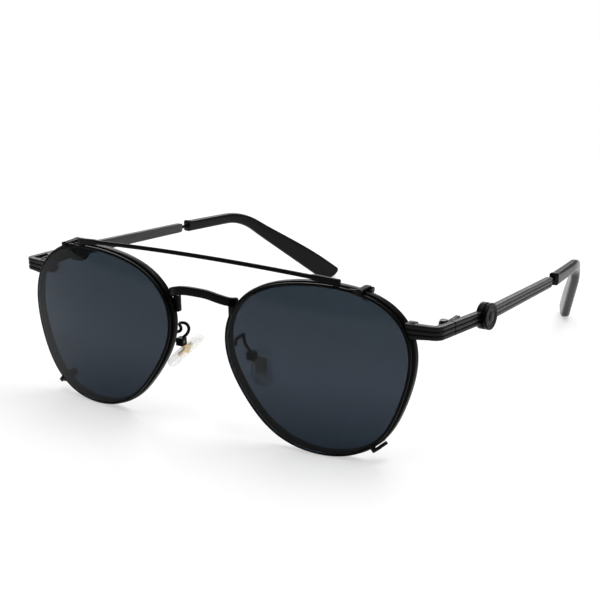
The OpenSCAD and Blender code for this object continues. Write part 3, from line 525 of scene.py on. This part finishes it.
strip = {"cornerX": lockX + 9.2, "cornerY": 5.9, "cornerZ": lockZ + 0.35, "cornerR": 3.0, "thick": 1.9,
         "high": 3.6, "endHigh": 3.0, "rootHigh": 4.1, "rib": 0.35, "ribGap": 0.02, "edgeR": 0.28,
         "fall": 0.0743, "bow": 0.05, "close": 0.045, "bossY": 31.2, "endY": 79.6, "gap": 0.12,
         "endRound": 1.5, "inner": lockX - 0.2, "joint": lockX + 1.8, "lean": 0.8, "behindRim": 0.05}


def stripMid(y):
    s = strip
    x = (s["cornerX"] - s["thick"] / 2 + s["bow"] * (min(y, s["bossY"]) - s["cornerY"] - s["cornerR"])
         - s["close"] * max(0, y - s["bossY"]))
    return Vector((x, y, s["cornerZ"] - s["fall"] * (y - s["cornerY"])))


def stripHigh(y):
    return strip["high"] + (strip["endHigh"] - strip["high"]) * max(0, y - foldY) / (strip["endY"] - foldY)


def ribbed(t, h, shrink=0.0):  # flat inside, three half-round ribs outside
    t, h, r = t - shrink, h - shrink, strip["edgeR"]
    points = []
    for cx, cy, start in ((t / 2 - r, r - h / 2, -90), (t / 2 - r, h / 2 - r, 0)):
        for i in range(4):
            b = radians(start + 30 * i)
            points.append((cx + r * cos(b), cy + r * sin(b)))
    for n in (1, 0, -1):  # ribs from the top down
        c = n * h / 3
        for i in range(9):
            b = radians(90 + 180 * i / 8)
            lift = sqrt(max(0, 1 - sin(b) ** 4))
            points.append((-t / 2 + strip["rib"] * (1 - lift), c + (h / 6 - strip["ribGap"]) * sin(b)))
    return points


# the endpiece's face, just behind the sun rim
rootY = domeY((strip["inner"] - lensX, strip["cornerZ"] - lensZ)) + strip["behindRim"]


def bendPath():  # from the rim out to the corner, and back to the fold
    s = strip
    bendR = s["cornerR"] - s["thick"] / 2
    path = [(s["inner"] + 0.2, rootY + s["thick"] / 2, s["cornerZ"])]
    for i in range(13):
        b = radians(90 * i / 12)
        x = s["cornerX"] - s["thick"] / 2 - bendR + bendR * sin(b)
        y = s["cornerY"] + s["thick"] / 2 + bendR * (1 - cos(b))
        path.append((x, y, s["cornerZ"] - s["fall"] * (y - s["cornerY"])))
    return path + [stripMid(y) for y in (11.5, foldY - s["gap"] - 0.08, foldY - s["gap"])]


def slantedRing(corners, f):  # the four corners, moved in by f and rounded
    ring = []
    for (x, z), (dx, dz) in zip(corners, ((1, 1), (-1, 1), (-1, -1), (1, -1))):
        near, mid, far = f, f + 0.09, f + 0.3
        turns = [(near, far), (mid, mid), (far, near)]
        if dx * dz < 0:
            turns.reverse()
        ring += [(x + dx * u, z + dz * v) for u, v in turns]
    return ring


for sideName, side in sides.items():
    path = bendPath()
    sections = [ribbed(strip["thick"], strip["rootHigh"])]
    sections += [ribbed(strip["thick"], strip["high"])] * (len(path) - 2)
    sections.append(ribbed(strip["thick"], strip["high"], 0.16))
    rings = sweep(path, sections, side=side)
    for p in rings[0]:  # the inner end leans with the rim
        p.x += side * strip["lean"] * mm * (0.5 - (p.z / mm - strip["cornerZ"]) / strip["rootHigh"])
    piece = loft(f"endStrip_{sideName}", rings, 40)
    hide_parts(f"endpiece_{sideName}")
    dress(piece, "strip", "frame")

    # root block of the endpiece, with its slanted inner edge over the rim
    y0, y1 = rootY + strip["thick"] / 2, strip["cornerY"] + strip["thick"]
    half, outer = strip["rootHigh"] / 2, strip["joint"] + 0.6
    corners = [(strip["inner"] + 1.05, -half), (outer, -half), (outer, half), (strip["inner"] + 0.05, half)]
    rings = []
    for y, f in ((y0, 0.2), (y0 + 0.06, 0.08), (y0 + 0.2, 0), (y1 - 0.15, 0), (y1, 0.15)):
        rings.append([place((x, y, strip["cornerZ"] + z), side) for x, z in slantedRing(corners, f)])
    dress(loft(f"endRoot_{sideName}", rings), "strip", "frame")

    body = f"temple_{sideName}"
    start, end = foldY + strip["gap"], strip["endY"]
    ys = [start, start + 0.08] + [16 + (end - 18) * i / 24 for i in range(25)]
    ys += [end - d for d in (strip["endRound"], 1.2, 0.8, 0.4, 0.15, 0)]
    sections = [ribbed(strip["thick"], stripHigh(start), 0.16)]
    for y in ys[1:]:  # the end is rounded off
        near = max(0, y - end + strip["endRound"]) / strip["endRound"]
        sections.append(ribbed(strip["thick"], stripHigh(y), 0.9 * (1 - sqrt(max(0, 1 - near ** 2)))))
    piece = loft(f"templeStrip_{sideName}", sweep([stripMid(y) for y in ys], sections, side=side), 40)
    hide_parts(f"temple_strip_{sideName}")
    dress(piece, "strip", body)
print("strips made")


# round boss on each temple: a bare button with a raised ring
boss = {"radius": 3.6, "inward": 1.1, "outward": 2.1, "neck": 3.2, "grooveIn": 0.7, "grooveOut": 1.05,
        "discR": 2.6, "around": 72}


def bossProfile():  # along its axis and out from it, from the inner face over the groove to the ring
    inner, outer, r, disc = -boss["inward"], boss["outward"], boss["radius"], boss["discR"]
    a, b = boss["grooveIn"], boss["grooveOut"]
    return [(inner, 0.02), (inner, r - 0.25), (inner + 0.08, r - 0.08), (inner + 0.25, r),
            (a - 0.18, r), (a - 0.04, r - 0.05), (a, r - 0.2), (a + 0.04, boss["neck"]),
            (b - 0.05, boss["neck"]), (b, r - 0.2), (b + 0.05, r - 0.05), (b + 0.2, r),
            (outer - 0.25, r), (outer - 0.07, r - 0.09), (outer, r - 0.3),
            (outer, disc + 0.2), (outer - 0.1, disc + 0.08), (outer - 0.3, disc), (outer - 0.32, disc - 0.08)]


for sideName, side in sides.items():
    c = stripMid(strip["bossY"])
    rings = []
    for x, r in bossProfile():
        rings.append([place(c + Vector((x, p, q)), side) for p, q in wireSection(r, boss["around"])])
    piece = loft(f"bossDrum_{sideName}", rings, 40)
    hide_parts(f"temple_boss_{sideName}")
    dress(piece, "small", f"temple_{sideName}")


tip = {"startY": 82.4, "thick": 2.8, "high": 4.0, "belowShare": 0.43, "endHigh": 6.8, "endR": 5.5,
       "fall": 4, "bendY": 102.5, "bendR": 20, "drop": 42, "round": 0.75, "roundMore": 0.25,
       "slowClose": 0.12, "close": 28, "closeFrom": 100, "closeOver": 20, "coreR": 0.55, "coreLong": 14}
tipStart = stripMid(tip["startY"])
frontLong = (tip["bendY"] - tip["startY"]) / cos(radians(tip["fall"]))
bendLong = tip["bendR"] * radians(tip["drop"] - tip["fall"])
bendStart = Vector((tip["bendY"], tipStart.z - frontLong * sin(radians(tip["fall"]))))


def bendOff(b):
    b, b0 = radians(b), radians(tip["fall"])
    return tip["bendR"] * Vector((sin(b) - sin(b0), cos(b) - cos(b0)))


bendEnd = bendStart + bendOff(tip["drop"])
tipBelow = tip["high"] * tip["belowShare"]
dropA = radians(tip["drop"])
paddleLong = (bendEnd.y + (tip["endR"] - tipBelow) * cos(dropA) - tip["endR"]) / sin(dropA)
tipLong = frontLong + bendLong + paddleLong + tip["endR"]


def tipInward(y):  # slowly at first, and faster over the paddle
    half = tip["closeOver"] / 2
    k = min(1, max(0, (y - tip["closeFrom"]) / tip["closeOver"]))
    slow, fast = tip["slowClose"], tan(radians(tip["close"]))
    more = half * k * k if k < 1 else y - tip["closeFrom"] - half
    return slow * (y - tip["startY"]) + (fast - slow) * more


def tipAt(l):
    if l < frontLong:
        fall = radians(tip["fall"])
        p = Vector((tip["startY"] + l * cos(fall), tipStart.z - l * sin(fall)))
    elif l < frontLong + bendLong:
        p = bendStart + bendOff(tip["fall"] + degrees((l - frontLong) / tip["bendR"]))
    else:
        p = bendEnd + (l - frontLong - bendLong) * Vector((cos(dropA), -sin(dropA)))
    return Vector((tipStart.x - tipInward(p.x), p.x, p.y))


def tipEdge(l):  # its lower and upper edge, from the path
    k, h = eased((l - frontLong) / (paddleLong + bendLong)), 2 * tipBelow
    e = min(1, max(0, l - tipLong + tip["endR"]) / tip["endR"])
    f = min(1, max(0, l - tipLong + 0.8) / 0.8)
    front = eased(l / 3)
    low = tip["endR"] * (1 - sqrt(1 - e * e)) - tipBelow
    high = tip["high"] / 2 * (1 - front) + h / 2 * front
    return low, high + (tip["endHigh"] - h) * k - 0.8 * (1 - sqrt(1 - f * f))


lengths = [0, 0.1, 0.3, 1, 2, 3]
lengths += [3 + (frontLong - 6) * i / 6 for i in range(1, 7)] + [frontLong - 1.5]
lengths += [frontLong + bendLong * i / 14 for i in range(15)]
lengths += [frontLong + bendLong + paddleLong * i / 14 for i in range(1, 15)]
roundAngles = (8, 17, 26, 35, 44, 52, 60, 67, 73, 78, 81)
lengths += [tipLong - tip["endR"] * (1 - sin(radians(b))) for b in roundAngles]
for sideName, side in sides.items():
    sections = []
    for i, l in enumerate(lengths):
        low, high = tipEdge(l)
        front = (0.5, 0.18, 0.0)[i] if i < 3 else 0
        last = max(0, l - tipLong + 0.7) / 0.7
        w = tip["thick"] - front - 1.3 * (1 - sqrt(max(0, 1 - last * last)))
        h = high - low - front
        r = min(tip["round"] + tip["roundMore"] * eased(l / 20), w / 2 - 0.02, h / 2 - 0.02)
        sections.append([(p, q + (low + high) / 2) for p, q in roundedBox(w, h, r, 5)])
    piece = loft(f"templeTip_{sideName}", sweep([tipAt(l) for l in lengths], sections, side=side), 40)
    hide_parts(f"temple_tip_{sideName}")
    dress(piece, "plastic", f"temple_{sideName}")

    neckFrom = stripMid(strip["endY"])
    way = (tipAt(frontLong / 2) - tipAt(0)).normalized()
    path = [neckFrom + (tipAt(0) - neckFrom).normalized() * 0.05]
    path += [tipAt(0) + way * d for d in (0, 1, tip["coreLong"] - 0.1)]
    piece = loft(f"coreWire_{sideName}", sweep(path, [wireSection(tip["coreR"], 20)] * 4, side=side))
    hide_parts(f"core_wire_{sideName}")
    dress(piece, "small", f"temple_{sideName}")
print("tips made")


# the arm's bends are given outwards from the lens's nose edge, behind the lens plane and above its middle
arm = {"radius": 0.45,
       "bends": [(1.45, 1.9, 1.04), (0.55, 2.9, 1.34), (0.65, 3.5, 2.04), (1.55, 4.1, 2.74), (1.65, 5.2, 2.84),
                 (0.95, 6.3, 2.34), (0.55, 6.9, 0.94), (1.15, 6.9, -0.66), (2.55, 6.7, -2.06)]}
pad = {"at": (noseX + 4.15, 9.7, lensZ - 6.96), "turn": 32, "lean": 55, "roll": -50, "long": 12.8,
       "wide": 7.0, "narrow": 0.8, "thick": 2.0}
turnPad = (Matrix.Translation(pad["at"]) @ Matrix.Rotation(radians(pad["turn"]), 4, "Z")
           @ Matrix.Rotation(radians(-pad["lean"]), 4, "X") @ Matrix.Rotation(radians(pad["roll"]), 4, "Z"))


def padOutline(grow):  # drop shape, in the pad's own length and width
    points = []
    r1, r2 = pad["wide"] / 2, pad["wide"] / 2 * pad["narrow"]
    c1, c2 = r1 - pad["long"] / 2, pad["long"] / 2 - r2
    lean = degrees((r1 - r2) / (c2 - c1))
    for i in range(25):
        b = radians(-90 + lean + (180 - 2 * lean) * i / 24)
        points.append((c2 + (r2 + grow) * cos(b), (r2 + grow) * sin(b)))
    for i in range(25):
        b = radians(90 - lean + (180 + 2 * lean) * i / 24)
        points.append((c1 + (r1 + grow) * cos(b), (r1 + grow) * sin(b)))
    return points


for sideName, side in sides.items():
    path = smoothPath([(noseX + x, y, lensZ + z) for x, y, z in arm["bends"]])
    sections = [wireSection(arm["radius"])] * len(path)
    piece = loft(f"padArm_{sideName}", sweep(path, sections, (1, 0, 0.15), side))
    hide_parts(f"pad_arm_{sideName}")
    dress(piece, "small", "frame")

    t = pad["thick"] / 2
    face = [(0.5, -0.04), (0.8, -0.22), (0.96, -0.6), (1, -1.1), (1, -2.0)]  # share of the thickness, growth
    levels = [(-k, grow) for k, grow in reversed(face)] + [(0, 0)] + face
    rings = []
    for k, grow in levels:
        rings.append([place(turnPad @ Vector((t * k, w, l)), side) for l, w in padOutline(grow)])
    piece = loft(f"nosePad_{sideName}", rings, 60)
    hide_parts(f"nose_pad_{sideName}")
    dress(piece, "pad", f"nose_pad_{sideName}")
print("pads made")


# small solids: how far the edges are eased, and the body that each rides on
smallParts = {"upper_claw": (0.16, "sun_front"), "lower_claw": (0.14, "sun_front"), "flip_lug": (0.1, "frame"),
              "lower_catch": (0.1, "frame"), "frame_hinge": (0.1, "frame"), "rim_lock": (0.12, "frame"),
              "pad_box": (0.1, "frame"), "boss_disc": (0.05, "temple"), "temple_hinge": (0.1, "temple")}
for base, (width, body) in smallParts.items():
    first, *rest = base.split("_")
    for sideName in sides:
        name = first + "".join(word.capitalize() for word in rest) + f"_{sideName}"
        piece = softened(f"{base}_{sideName}", name, width)
        dress(piece, "small", f"temple_{sideName}" if body == "temple" else body)

# solids that stay as they are
kept = {"hinge_screw": "screw", "lock_screw": "screw", "pad_screw": "screw", "flip_pin": "screw",
        "pad_core": "gold"}
for node, obj in frame["nodes"].items():
    finish = kept.get(node.rsplit("_", 1)[0])
    if finish:
        obj.data.materials.clear()
        obj.data.materials.append(finishes[finish])
print("small parts dressed")


stage = {"floorSize": 8, "fadeFrom": 0.12, "fadeTo": 0.36, "lift": 0.5, "world": 0.34}
lamps = {
    "overhead": {"at": (0.0, 0.05, 0.9), "target": (0, 0, 0), "size": (0.9, 0.9), "power": 6.0},
    "edge": {"at": (0.25, 0.35, 0.8), "target": (0, 0, 0.03), "size": (0.9, 0.05), "power": 2.5},
    "behind": {"at": (-0.55, 0.85, 0.5), "target": (0, 0, 0.02), "size": (0.9, 0.45), "power": 4.0},
    "rightSide": {"at": (0.9, 0.1, 0.3), "target": (0.03, 0, 0.02), "size": (0.4, 0.4), "power": 1.0},
}

clearAll()
bpy.ops.mesh.primitive_plane_add(size=stage["floorSize"], location=(0, 0, 0))
floor = bpy.context.object
floor.name = "paleFloor"
f = Finish("pale floor")
seen = f.add("ShaderNodeLightPath", output="Is Camera Ray")
through = f.add("ShaderNodeLightPath", output="Is Transmission Ray")
mirrored = f.add("ShaderNodeLightPath", output="Is Glossy Ray")
far = f.add("ShaderNodeVectorMath", {"operation": "LENGTH"}, {0: f.spot}, 1)
fade = f.add("ShaderNodeMapRange", {"interpolation_type": "SMOOTHSTEP"},
             {0: far, 1: stage["fadeFrom"], 2: stage["fadeTo"], 3: stage["lift"], 4: 1.0})
looked = seen.maths("MAXIMUM", seen.maths("MAXIMUM", seen, through), mirrored)
f.set(Base_Color=f.between(f.noise(3, 2), (0.93, 0.93, 0.93), (0.95, 0.95, 0.95)), Roughness=0.9,
      Specular_IOR_Level=0.1)
glow = f.add("ShaderNodeEmission", {}, {"Color": (1, 1, 1, 1), "Strength": 1.0})
mixed = f.add("ShaderNodeMixShader", {}, {0: fade * looked, 1: Wire(f, f.shader.outputs[0]), 2: glow})
f.links.new(mixed.socket, f.nodes["Material Output"].inputs["Surface"])
floor.data.materials.append(f.material)

world = bpy.data.worlds.new("white studio")
bpy.context.scene.world = world
world.use_nodes = True
nodes, links = world.node_tree.nodes, world.node_tree.links
path = nodes.new("ShaderNodeLightPath")
plain, white = nodes["Background"], nodes.new("ShaderNodeBackground")
mix = nodes.new("ShaderNodeMixShader")
for sky, strength in ((plain, stage["world"]), (white, 1.0)):
    sky.inputs["Color"].default_value, sky.inputs["Strength"].default_value = (1, 1, 1, 1), strength
either = nodes.new("ShaderNodeMath")
either.operation = "MAXIMUM"
links.new(path.outputs["Is Camera Ray"], either.inputs[0])
links.new(path.outputs["Is Transmission Ray"], either.inputs[1])
links.new(either.outputs[0], mix.inputs[0])
links.new(plain.outputs[0], mix.inputs[1])
links.new(white.outputs[0], mix.inputs[2])
links.new(mix.outputs[0], nodes["World Output"].inputs["Surface"])


def softbox(name, at, target, size, power):
    data = bpy.data.lights.new(name, "AREA")
    data.shape, data.size, data.size_y, data.energy = "RECTANGLE", size[0], size[1], power
    lamp = bpy.data.objects.new(name, data)
    bpy.context.collection.objects.link(lamp)
    lamp.location = at
    lamp.rotation_euler = (Vector(target) - Vector(at)).to_track_quat("-Z", "Y").to_euler()


for name, lamp in lamps.items():
    softbox(name, lamp["at"], lamp["target"], lamp["size"], lamp["power"])

view = {"right": (0.8420, 0.5391, -0.0197), "up": (-0.1439, 0.2596, 0.9550), "at": (220.20, -289.87, 148.71),
        "lens": 84.97, "sensor": 36, "near": 0.01, "far": 20}
right, up = Vector(view["right"]).normalized(), Vector(view["up"])
up = (up - right * up.dot(right)).normalized()
back = right.cross(up)
turned = Matrix((right, up, back)).transposed().to_4x4()
turned.translation = place(view["at"])
cameraData = bpy.data.cameras.new("photo view")
cameraData.lens, cameraData.sensor_width, cameraData.sensor_fit = view["lens"], view["sensor"], "HORIZONTAL"
cameraData.clip_start, cameraData.clip_end = view["near"], view["far"]
camera = bpy.data.objects.new("photo view", cameraData)
bpy.context.collection.objects.link(camera)
camera.matrix_world = turned
bpy.context.scene.camera = camera
bpy.context.scene.view_settings.view_transform = "Standard"
print("stage ready")
